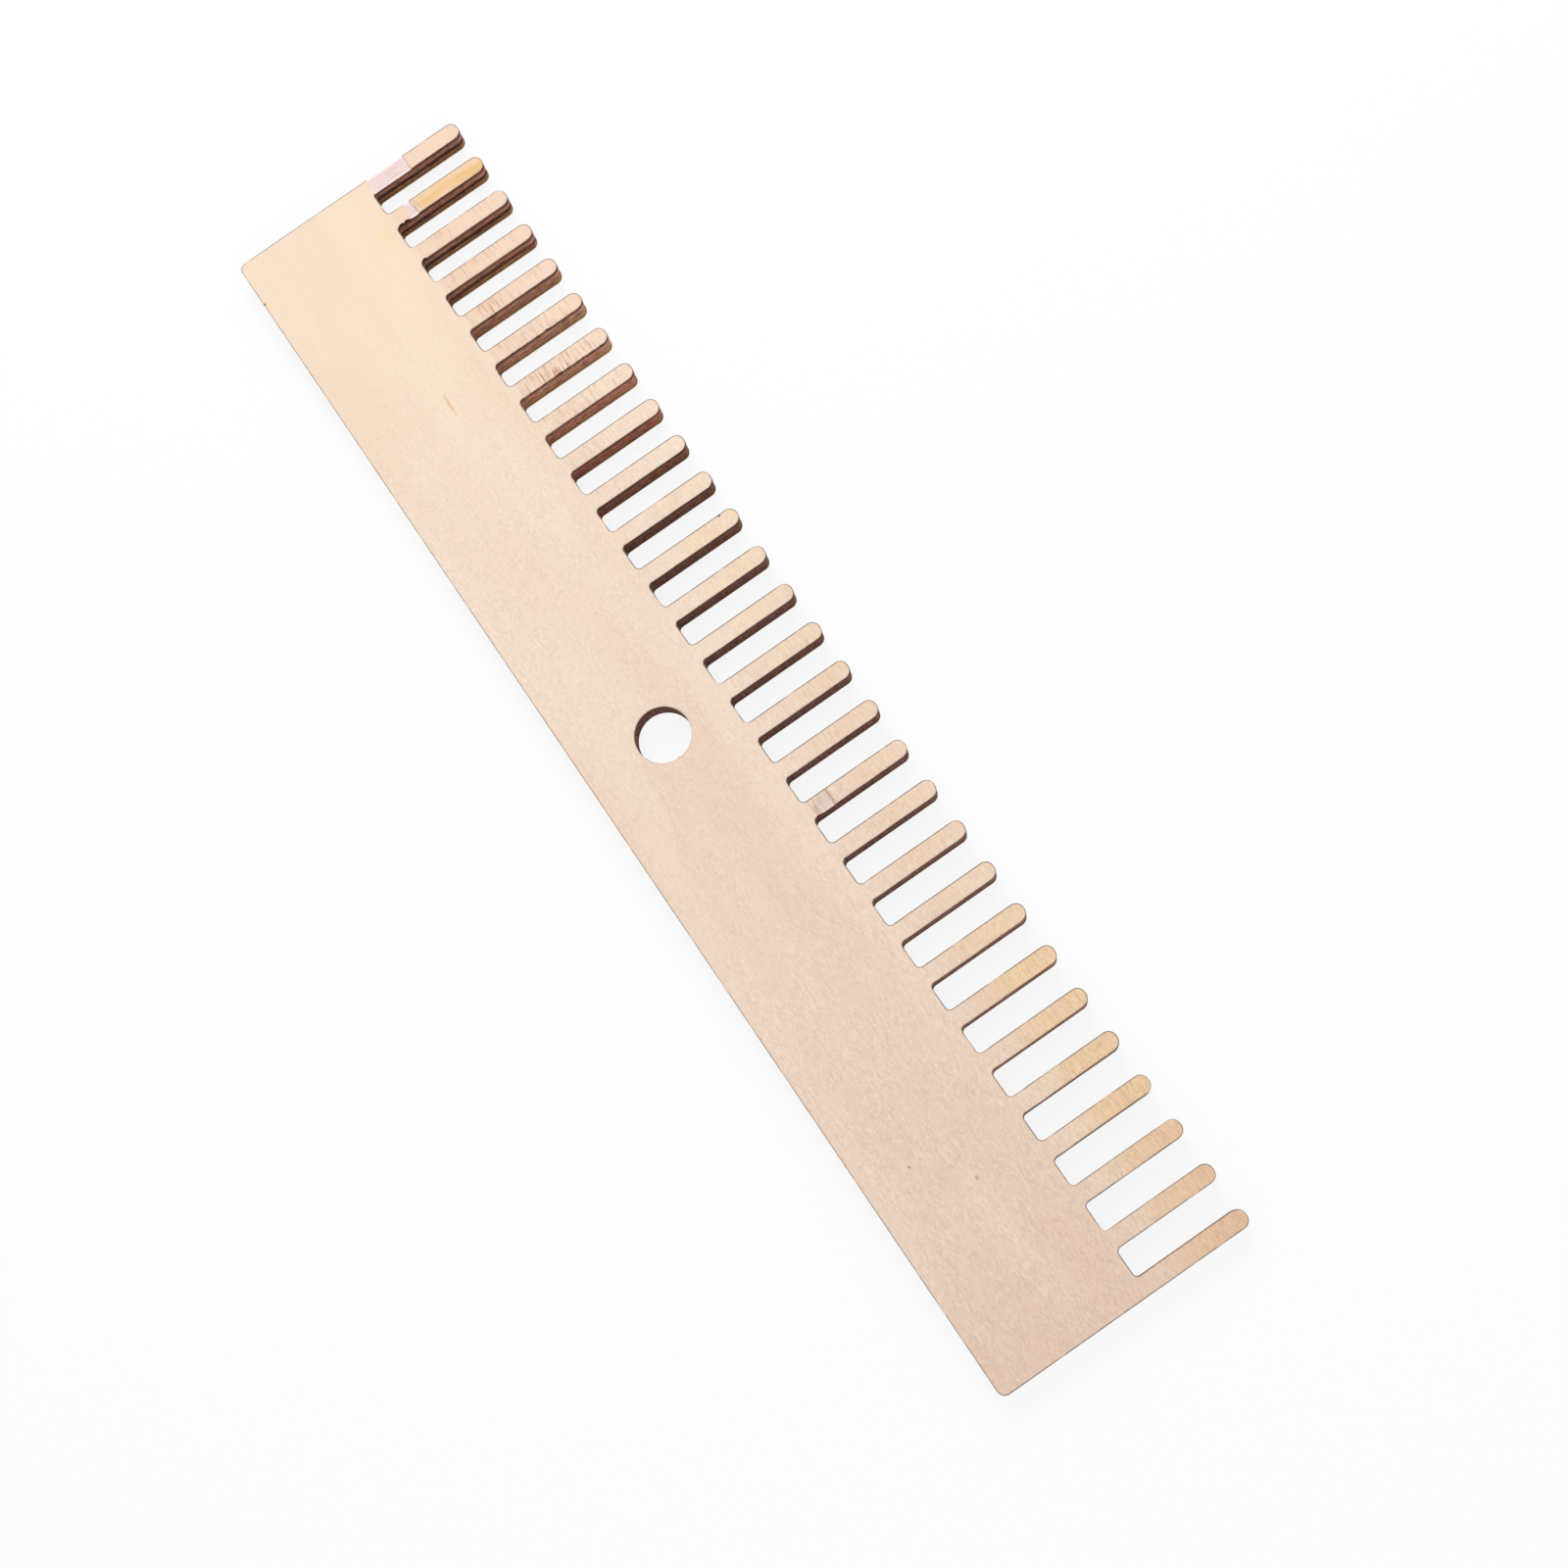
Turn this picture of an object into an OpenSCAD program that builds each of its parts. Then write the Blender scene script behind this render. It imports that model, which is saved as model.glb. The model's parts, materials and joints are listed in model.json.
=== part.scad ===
// Weaving comb cut from one sheet of three-ply plywood. All lengths are in millimetres.
// The comb lies on its back face at z = 0 with its front face up. The row of teeth runs
// along X, the tips point to +Y, and the origin is under the middle of the comb.

/* [Comb] */
// Length of the comb along the row of teeth
comb_length = 200; // [160:1:300]
// Depth of the solid back, from the back edge to the roots of the teeth
back_depth = 23.2; // [20:0.1:40]
// Radius of the two corners at the ends of the back edge
corner_radius = 1.2; // [0.5:0.1:5]

/* [Teeth] */
// Number of teeth, the outer two flush with the ends of the back
tooth_count = 29; // [11:1:32]
// Width of one tooth
tooth_width = 2.75; // [1.8:0.05:3.2]
// Length of a tooth from its root to its tip
tooth_length = 16.5; // [8:0.1:30]
// Radius of the two corners of a tooth's tip
tip_radius = 1.25; // [0.3:0.05:1.6]
// Radius of the two inner corners of a gap, at the roots of its teeth
root_radius = 0.7; // [0.2:0.05:0.9]

/* [Hanging hole] */
// Diameter of the hole in the back
hole_diameter = 8.2; // [4:0.1:10]
// Distance from the back edge to the centre of the hole
hole_setback = 12.75; // [8:0.05:14]

/* [Plywood] */
// Thickness of each face veneer, with its grain along the comb
face_thickness = 0.5; // [0.3:0.05:1.2]
// Thickness of the core veneer, with its grain along the teeth
core_thickness = 2.3; // [1:0.1:4]
// Thickness of each glue line between a face veneer and the core
glue_thickness = 0.1; // [0.05:0.01:0.2]

/* [Hidden] */
// Face left at the end of a tooth, however large its tip radius
least_tip_flat = 0.2;
// Floor left between the inner corners of a gap, however large their radius
least_gap_floor = 0.2;
// How far a cutting shape reaches past what it cuts
cut_margin = 1;

comb_depth = back_depth + tooth_length;
tooth_pitch = (comb_length - tooth_width) / (tooth_count - 1);
gap_width = tooth_pitch - tooth_width;
tip_r = min(tip_radius, (tooth_width - least_tip_flat) / 2);
root_r = min(root_radius, (gap_width - least_gap_floor) / 2);

left_end = -comb_length / 2;
back_edge = -comb_depth / 2;
root_line = back_edge + back_depth;
tip_line = root_line + tooth_length;
shoulder_line = tip_line - tip_r;
hole_y = back_edge + hole_setback;

back_veneer_z = 0;
back_glue_z = back_veneer_z + face_thickness;
core_z = back_glue_z + glue_thickness;
front_glue_z = core_z + core_thickness;
front_veneer_z = front_glue_z + glue_thickness;

$fn = 64;

function tooth_x(i) = left_end + tooth_width / 2 + i * tooth_pitch;

// Blank up to the shoulders of the tips, with the two back corners rounded
module blank_outline() {
    translate([left_end, back_edge + corner_radius])
        square([comb_length, shoulder_line - back_edge - corner_radius]);
    translate([left_end + corner_radius, back_edge])
        square([comb_length - 2 * corner_radius, back_depth]);
    for (side = [-1, 1])
        translate([side * (comb_length / 2 - corner_radius), back_edge + corner_radius])
            circle(r = corner_radius);
}

// One gap between two teeth, open at the tips and rounded in its inner corners
module gap_outline() {
    reach = tooth_length + cut_margin;
    translate([-gap_width / 2, root_r])
        square([gap_width, reach - root_r]);
    translate([root_r - gap_width / 2, 0])
        square([gap_width - 2 * root_r, reach]);
    for (side = [-1, 1])
        translate([side * (gap_width / 2 - root_r), root_r])
            circle(r = root_r);
}

// The round end of one tooth, beyond its shoulders
module tip_outline() {
    flat_width = tooth_width - 2 * tip_r;
    translate([-flat_width / 2, -tip_r])
        square([flat_width, 2 * tip_r]);
    for (side = [-1, 1])
        translate([side * flat_width / 2, 0])
            circle(r = tip_r);
}

module comb_outline() {
    difference() {
        blank_outline();
        for (i = [0 : tooth_count - 2])
            translate([tooth_x(i) + tooth_pitch / 2, root_line])
                gap_outline();
    }
    for (i = [0 : tooth_count - 1])
        translate([tooth_x(i), shoulder_line])
            tip_outline();
}

// One layer of the plywood, cut to the comb's outline and bored for hanging
module layer(bottom, thickness) {
    difference() {
        translate([0, 0, bottom])
            linear_extrude(height = thickness)
                comb_outline();
        translate([0, hole_y, bottom - cut_margin])
            cylinder(d = hole_diameter, h = thickness + 2 * cut_margin);
    }
}

module back_veneer() {
    color([0.90, 0.82, 0.73])
        layer(back_veneer_z, face_thickness);
}

module back_glue_line() {
    color([0.25, 0.15, 0.10])
        layer(back_glue_z, glue_thickness);
}

module core_veneer() {
    color([0.50, 0.35, 0.27])
        layer(core_z, core_thickness);
}

module front_glue_line() {
    color([0.25, 0.15, 0.10])
        layer(front_glue_z, glue_thickness);
}

module front_veneer() {
    color([0.93, 0.85, 0.77])
        layer(front_veneer_z, face_thickness);
}

back_veneer();
back_glue_line();
core_veneer();
front_glue_line();
front_veneer();
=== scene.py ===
import json
import math
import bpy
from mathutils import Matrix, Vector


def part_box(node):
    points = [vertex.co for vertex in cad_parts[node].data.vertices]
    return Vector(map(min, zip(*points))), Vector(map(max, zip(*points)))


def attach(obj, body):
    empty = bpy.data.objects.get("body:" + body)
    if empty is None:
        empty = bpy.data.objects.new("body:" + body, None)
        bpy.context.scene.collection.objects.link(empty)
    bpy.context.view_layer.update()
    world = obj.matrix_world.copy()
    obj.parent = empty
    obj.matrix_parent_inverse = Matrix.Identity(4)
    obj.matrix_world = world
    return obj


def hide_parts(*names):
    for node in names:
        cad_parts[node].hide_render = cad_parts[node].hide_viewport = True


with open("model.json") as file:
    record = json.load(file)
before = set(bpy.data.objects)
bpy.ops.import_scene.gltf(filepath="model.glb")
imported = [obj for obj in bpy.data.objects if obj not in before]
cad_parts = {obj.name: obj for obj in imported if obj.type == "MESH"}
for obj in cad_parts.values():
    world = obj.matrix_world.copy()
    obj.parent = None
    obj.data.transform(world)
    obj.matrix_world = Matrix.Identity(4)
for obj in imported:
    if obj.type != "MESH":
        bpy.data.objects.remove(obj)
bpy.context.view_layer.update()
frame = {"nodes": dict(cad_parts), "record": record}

from types import SimpleNamespace

import bpy
import numpy as np
from mathutils import Matrix, Vector, geometry, noise

scene = bpy.context.scene
scene.view_settings.view_transform = "Standard"
mm = 0.001
print("frame loaded with", len(frame["nodes"]), "layers")

# the cut of the sheet, in millimetres; its ends, edges and hole come from the frame
cut = dict(
    teeth=29,
    toothWidth=2.75,
    toothLength=16.5,
    tipRadius=1.25,  # round corners of a tip
    rootRadius=0.7,  # inner corners of a gap
    backCorner=1.2,  # ends of the back edge
    arris=0.08,  # rounding of a face along the cut
    nub=(0.18, 0.3),  # where the cut of the hole began: how far it stands in, and half its width
    edgeWaves=(0.8, 0.4),  # waves to the millimetre of a cut edge, along it and through the sheet
)
sheetLow, sheetHigh = (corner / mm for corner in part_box("front_veneer"))
leftEnd, rightEnd = sheetLow.x, sheetHigh.x
backEdge, tipLine = sheetLow.y, sheetHigh.y
rootLine = tipLine - cut["toothLength"]
shoulder = cut["toothLength"] - cut["tipRadius"]
lastTooth = cut["teeth"] - 1
pitch = (rightEnd - leftEnd - cut["toothWidth"]) / lastTooth
gapWidth = pitch - cut["toothWidth"]
holeMount = next(m for m in frame["record"]["mounts"] if m["name"] == "hanging_hole")
holeX, holeY = (value / mm for value in holeMount["pos_m"][:2])
holeRadius = holeMount["dims"]["r_mm"]

# how finely the layers are meshed, in millimetres where nothing else is said
meshing = dict(
    acrossTooth=(0, 0.02, 0.05, 0.1, 0.2, 0.35, 0.5, 0.65, 0.8, 0.9, 0.95, 0.98, 1),  # shares of its width
    gapColumns=4,
    arcSteps=8,  # in a quarter turn
    rim=(0, 0.055, 0.14, 0.3, 0.6),  # rows kept close to an edge
    bodyRow=0.9,
    plainRow=0.35,
    wornRow=0.06,
    evenBelow=3.0,  # the columns are evenly spread this far below the roots
    holeBlock=(9.0, 9.0, 7.0),  # reach of the rings round the hole: sideways, back, front
    holeRings=(0.22, 0.42, 0.58, 0.71, 0.82, 0.9, 0.95, 0.98, 0.992, 1),  # shares of the way to its edge
    nubRows=(1.8, 0.2),  # reach and spacing of the rows that shape the nub
    weld=1e-6,  # points closer than this are one where a flat end is filled
    sharpFrom=50,  # degrees; faces that meet more steeply keep a hard line
)
quarterTurn = np.linspace(0, math.pi / 2, meshing["arcSteps"] + 1)
toothMiddle = 0.5  # share of a tooth's width


def smooth(value, low, high):
    # eases from 0 at low to 1 at high
    share = np.clip((value - low) / (high - low), 0, 1)
    return share * share * (3 - 2 * share)


def ripple(x, y, z=0.0):
    # smooth noise from -1 to 1, one value a point
    x, y, z = np.broadcast_arrays(x, y, z)
    return np.array([noise.noise(Vector(p)) for p in zip(x.ravel(), y.ravel(), z.ravel())]).reshape(x.shape)


def toothX(i):
    return leftEnd + cut["toothWidth"] / 2 + i * pitch


def toothSides(i, rise):
    # left and right edge of a tooth at a height above the root line
    root, tip = cut["rootRadius"], cut["tipRadius"]
    below = np.clip(root - rise, 0, root)
    flare = root - np.sqrt(root ** 2 - below ** 2)
    over = np.clip(rise - shoulder, 0, tip)
    half = cut["toothWidth"] / 2 - tip + np.sqrt(tip ** 2 - over ** 2)
    left = toothX(i) - half - flare * (i > 0)
    right = toothX(i) + half + flare * (i < lastTooth)
    return left, right


def toothRows(step):
    # heights of a tooth's rows: round its root, up its shank and round its tip
    fillet = cut["rootRadius"] * (1 - np.cos(quarterTurn))
    count = round((shoulder - cut["rootRadius"]) / step)
    shank = np.linspace(cut["rootRadius"], shoulder, count + 1)[1:-1]
    tip = shoulder + cut["tipRadius"] * np.sin(quarterTurn)
    return np.concatenate([fillet, shank, tip])


def gridQuads(index):
    corners = index[:-1, :-1], index[:-1, 1:], index[1:, 1:], index[1:, :-1]
    return np.stack(corners, -1)


def rimLoops(quads):
    # an edge of the sheet belongs to one quad only; follow those head to tail
    tails = quads.ravel()
    heads = np.roll(quads, -1, 1).ravel()
    span = quads.max() + 1
    alone = ~np.isin(tails * span + heads, heads * span + tails)
    follow = dict(zip(tails[alone].tolist(), heads[alone].tolist()))
    loops = []
    while follow:
        at = next(iter(follow))
        loop = []
        while at in follow:
            loop.append(at)
            at = follow.pop(at)
        loops.append(np.array(loop))
    return loops


def rimDistance(xy):
    # distance from the cut outline, for points on the sheet
    x, y = xy.T
    corner, root, tip = cut["backCorner"], cut["rootRadius"], cut["tipRadius"]
    fromEnd = np.minimum(x - leftEnd, rightEnd - x)
    fromBack = y - backEdge
    atCorner = (fromEnd < corner) & (fromBack < corner)
    toCorner = corner - np.hypot(corner - fromEnd, corner - fromBack)
    toBlank = np.where(atCorner, toCorner, np.minimum(fromEnd, fromBack))
    toHole = np.hypot(x - holeX, y - holeY) - holeRadius
    toGapMiddle = 0.5  # of a pitch, from the tooth before the gap
    gap = np.clip(np.round((x - toothX(toGapMiddle)) / pitch), 0, lastTooth - 1)
    sideways = np.maximum(np.abs(x - toothX(gap + toGapMiddle)) - gapWidth / 2 + root, 0)
    under = np.maximum(rootLine + root - y, 0)
    toGap = np.hypot(sideways, under) - root
    tooth = np.clip(np.round((x - toothX(0)) / pitch), 0, lastTooth)
    aside = np.maximum(np.abs(x - toothX(tooth)) - cut["toothWidth"] / 2 + tip, 0)
    over = y - tipLine + tip
    toTip = np.where(over > 0, tip - np.hypot(aside, over), tip)
    return np.maximum(np.minimum.reduce([toBlank, toHole, toGap, toTip]), 0)


def rootColumns():
    # columns at the roots, across each tooth and each gap, and the number at which each tooth starts
    columns = []
    starts = []
    for i in range(cut["teeth"]):
        left, right = toothSides(i, 0.0)
        starts.append(len(columns))
        columns.extend(left + (right - left) * np.array(meshing["acrossTooth"]))
        if i < lastTooth:
            nextLeft, _ = toothSides(i + 1, 0.0)
            columns.extend(np.linspace(right, nextLeft, meshing["gapColumns"] + 2)[1:-1])
    return np.array(columns), starts


def bodyGrid(rootX):
    # the solid back in rows, closer together at the nub; its columns run evenly and then lead into the teeth
    rim = np.array(meshing["rim"])
    corner = cut["backCorner"]
    backRows = backEdge + corner * (1 - np.cos(quarterTurn))
    rootRows = rootLine - rim[::-1]
    count = round((rootRows[0] - backRows[-1]) / meshing["bodyRow"])
    innerRows = np.linspace(backRows[-1], rootRows[0], count + 1)[1:-1]
    reach, spacing = meshing["nubRows"]
    innerRows = innerRows[np.abs(innerRows - holeY) > reach + spacing]
    nubRows = holeY + np.arange(-reach, reach + spacing / 2, spacing)
    y = np.concatenate([backRows, np.sort(np.append(innerRows, nubRows)), rootRows])

    evenX = np.linspace(leftEnd, rightEnd, len(rootX))
    evenX[:len(rim)] = leftEnd + rim
    evenX[-len(rim):] = rightEnd - rim[::-1]
    even = smooth(rootLine - y, 0, meshing["evenBelow"])[:, None]
    inCorner = np.clip(corner - y + backEdge, 0, corner)
    pulled = corner - np.sqrt(corner ** 2 - inCorner ** 2)
    x = (rootX * (1 - even) + evenX * even) * (1 - pulled / rightEnd)[:, None]
    return x, y


def holeEdge(around):
    # the point of the hole's edge that faces each point around it, with the nub where its cut began
    spoke = around - (holeX, holeY)
    stand, half = cut["nub"]
    nub = stand * np.exp(-(np.arctan2(spoke[:, 1], spoke[:, 0]) * holeRadius / half) ** 2)
    return spoke * ((holeRadius - nub) / np.linalg.norm(spoke, axis=1))[:, None] + (holeX, holeY)


def combSheet(wornTeeth=(), nibble=None):
    # one face of the comb as quads: a grid for the back, rings round the hole, a strip for each tooth
    rootX, toothStart = rootColumns()
    bodyX, bodyY = bodyGrid(rootX)
    grid = np.arange(bodyX.size).reshape(bodyX.shape)
    xy = [np.column_stack([bodyX.ravel(), np.repeat(bodyY, len(rootX))])]
    size = bodyX.size

    # the rings take the place of a block of the grid
    sideways, backwards, forwards = meshing["holeBlock"]
    r0, r1 = np.flatnonzero((bodyY > holeY - backwards) & (bodyY < holeY + forwards))[[0, -1]]
    c0, c1 = np.flatnonzero(np.abs(bodyX[r0] - holeX) < sideways)[[0, -1]]
    bodyQuads = gridQuads(grid)
    keep = np.ones(bodyQuads.shape[:2], bool)
    keep[r0:r1, c0:c1] = False
    quads = [bodyQuads[keep]]
    sides = grid[r0, c0:c1], grid[r0:r1, c1], grid[r1, c1:c0:-1], grid[r1:r0:-1, c0]
    ring = np.concatenate(sides)
    outer = xy[0][ring]
    inner = holeEdge(outer)
    for share in meshing["holeRings"]:
        fresh = size + np.arange(len(ring))
        xy.append(outer * (1 - share) + inner * share)
        quads.append(np.stack([ring, np.roll(ring, -1), np.roll(fresh, -1), fresh], 1))
        size += len(ring)
        ring = fresh

    across = np.array(meshing["acrossTooth"])
    tooth = [np.full(size, -1)]  # no tooth on the back
    rise = [np.zeros(size)]
    place = [np.zeros(size)]
    for i in range(cut["teeth"]):
        heights = toothRows(meshing["wornRow"] if i in wornTeeth else meshing["plainRow"])
        left, right = toothSides(i, heights)
        if nibble:
            left = left + nibble(i, -1, heights)
            right = right - nibble(i, 1, heights)
        x = left[1:, None] + (right - left)[1:, None] * across
        y = np.repeat(rootLine + heights[1:], len(across)).reshape(x.shape)
        rows = np.vstack([grid[-1, toothStart[i]:toothStart[i] + len(across)],
                          size + np.arange(x.size).reshape(x.shape)])
        xy.append(np.column_stack([x.ravel(), y.ravel()]))
        quads.append(gridQuads(rows).reshape(-1, 4))
        tooth.append(np.full(x.size, i))
        rise.append((y - rootLine).ravel())
        place.append(np.tile(across, len(x)))
        size += x.size

    quads = np.concatenate(quads)
    return SimpleNamespace(
        xy=np.concatenate(xy), quads=quads, loops=rimLoops(quads), tooth=np.concatenate(tooth),
        rise=np.concatenate(rise), across=np.concatenate(place))


def flatFill(xy, rings):
    # triangles across a flat end, inside its outline and outside its hole
    outline, hole = sorted(rings, key=len, reverse=True)
    corners = np.concatenate([outline, hole[::-1]])
    loops = np.split(np.arange(len(corners)), [len(outline)])
    flat = [Vector(p) for p in xy[corners]]
    withinLoops = 1  # the filler's kind of output
    _, _, triangles, origins, _, inside = geometry.delaunay_2d_cdt(
        flat, [], [loop.tolist() for loop in loops], withinLoops, meshing["weld"])
    kept = [[origins[v][0] for v in triangle] for triangle, loop in zip(triangles, inside) if loop == [0]]
    return corners[np.array(kept)]


def meshObject(name, points, faces, slots, finishes, marks):
    mesh = bpy.data.meshes.new(name)
    mesh.from_pydata((points * mm).tolist(), [], faces)
    mesh.polygons.foreach_set("material_index", slots)
    mesh.shade_smooth()
    mesh.set_sharp_from_angle(angle=math.radians(meshing["sharpFrom"]))
    for mark, values in marks.items():
        held = np.zeros(len(points), np.float32)
        held[:len(values)] = values
        mesh.attributes.new(mark, "FLOAT", "POINT").data.foreach_set("value", held)
    for finish in finishes:
        mesh.materials.append(finish)
    made = bpy.data.objects.new(name, mesh)
    scene.collection.objects.link(made)
    print(name, "has", len(mesh.polygons), "faces")
    return made


def layerObject(name, sheet, faceZ, levels, inset, finishes, marks):
    # a closed layer, in millimetres: the shown face, its cut edge ring by ring, and a flat hidden face
    points = []
    faces = []
    size = 0
    upward = True
    starts = [None] * len(sheet.loops)
    if faceZ is not None:
        upward = levels[-1] < faceZ.mean()
        points.append(np.column_stack([sheet.xy, faceZ]))
        faces.append(sheet.quads if upward else sheet.quads[:, ::-1])
        size = len(sheet.xy)
        starts = sheet.loops
    faceCount = sum(map(len, faces))
    firstRings = []
    lastRings = []
    for loop, above in zip(sheet.loops, starts):
        xy = sheet.xy[loop]
        ahead = np.roll(xy, -1, 0) - np.roll(xy, 1, 0)
        outward = np.column_stack([ahead[:, 1], -ahead[:, 0]]) / np.linalg.norm(ahead, axis=1)[:, None]
        for z in levels:
            below = size + np.arange(len(xy))
            sunk = xy - outward * inset(xy, z)[:, None]
            points.append(np.column_stack([sunk, np.full(len(xy), z)]))
            size += len(xy)
            if above is None:
                firstRings.append(below)
            else:
                strip = np.stack([np.roll(above, -1), above, below, np.roll(below, -1)], 1)
                faces.append(strip if upward else strip[:, ::-1])
            above = below
        lastRings.append(below)
    points = np.concatenate(points)
    quads = np.concatenate(faces)
    ends = [flatFill(points[:, :2], lastRings)[:, ::-1 if upward else 1]]
    if firstRings:
        ends.append(flatFill(points[:, :2], firstRings))
    ends = np.concatenate(ends)
    slots = np.zeros(len(quads) + len(ends), int)
    slots[faceCount:len(quads)] = 1  # the cut edge
    return meshObject(name, points, quads.tolist() + ends.tolist(), slots, finishes, marks)


# finishes
def tone(red, green, blue):
    # a colour as read off a screen, 0 to 255, turned into light by the screens' common curve
    def linear(value):
        value /= 255
        return value / 12.92 if value <= 0.04045 else ((value + 0.055) / 1.055) ** 2.4
    return linear(red), linear(green), linear(blue), 1.0


class Finish:
    # a material, with short calls for the nodes that feed its shader
    def __init__(self, name):
        self.material = bpy.data.materials.new(name)
        self.material.use_nodes = True
        self.nodes = self.material.node_tree.nodes
        self.links = self.material.node_tree.links
        self.shader = self.nodes["Principled BSDF"]
        place = self.node("TexCoord", output="Object")
        self.place = self.node("VectorMath", {0: place, "Scale": 1 / mm}, operation="SCALE")

    def feed(self, socket, value):
        if isinstance(value, bpy.types.NodeSocket):
            self.links.new(value, socket)
        else:
            socket.default_value = value

    def node(self, kind, inputs=None, output=0, **settings):
        made = self.nodes.new("ShaderNode" + kind)
        for setting, value in settings.items():
            setattr(made, setting, value)
        for socket, value in (inputs or {}).items():
            self.feed(made.inputs[socket], value)
        return made.outputs[output]

    def mark(self, name):
        return self.node("Attribute", output="Fac", attribute_name=name)

    def axis(self, name):
        return self.node("SeparateXYZ", {0: self.place}, output=name)

    def grain(self, along, across, through=0.0, detail=2.0, rough=0.5, shift=0.0, bend=0.0):
        # noise with this many waves to the millimetre along X, Y and Z
        waves = (along, across, through)
        spot = self.node("VectorMath", {0: self.place, 1: waves, 2: (shift, shift, shift)},
                         operation="MULTIPLY_ADD")
        return self.node("TexNoise", {"Vector": spot, "Scale": 1.0, "Detail": detail, "Roughness": rough,
                                      "Distortion": bend})

    def step(self, value, low, high, least=0.0, most=1.0):
        return self.node("MapRange", {0: value, 1: low, 2: high, 3: least, 4: most},
                         interpolation_type="SMOOTHSTEP")

    def calc(self, operation, *values):
        return self.node("Math", dict(enumerate(values)), operation=operation)

    def mix(self, share, first, second, mode="MIX"):
        return self.node("Mix", {0: share, 6: first, 7: second}, output=2, data_type="RGBA", blend_type=mode)

    def ramp(self, value, stops):
        # colour by value, from pairs of a value and its colour
        low, high = stops[0][0], stops[-1][0]
        made = self.nodes.new("ShaderNodeValToRGB")
        self.feed(made.inputs[0], self.node("MapRange", {0: value, 1: low, 2: high}))
        held = made.color_ramp.elements
        while len(held) < len(stops):
            held.new(1.0)
        for stop, (at, colour) in zip(held, stops):
            stop.position = (at - low) / (high - low)
            stop.color = (*colour[:3], 1.0)
        return made.outputs[0]

    def bump(self, height, strength, depth):
        return self.node("Bump", {"Height": height, "Strength": strength, "Distance": depth * mm})

    def set(self, **sockets):
        names = dict(colour="Base Color", rough="Roughness", normal="Normal", gloss="Specular IOR Level")
        for key, value in sockets.items():
            self.feed(self.shader.inputs[names[key]], value)
        return self.material


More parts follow.
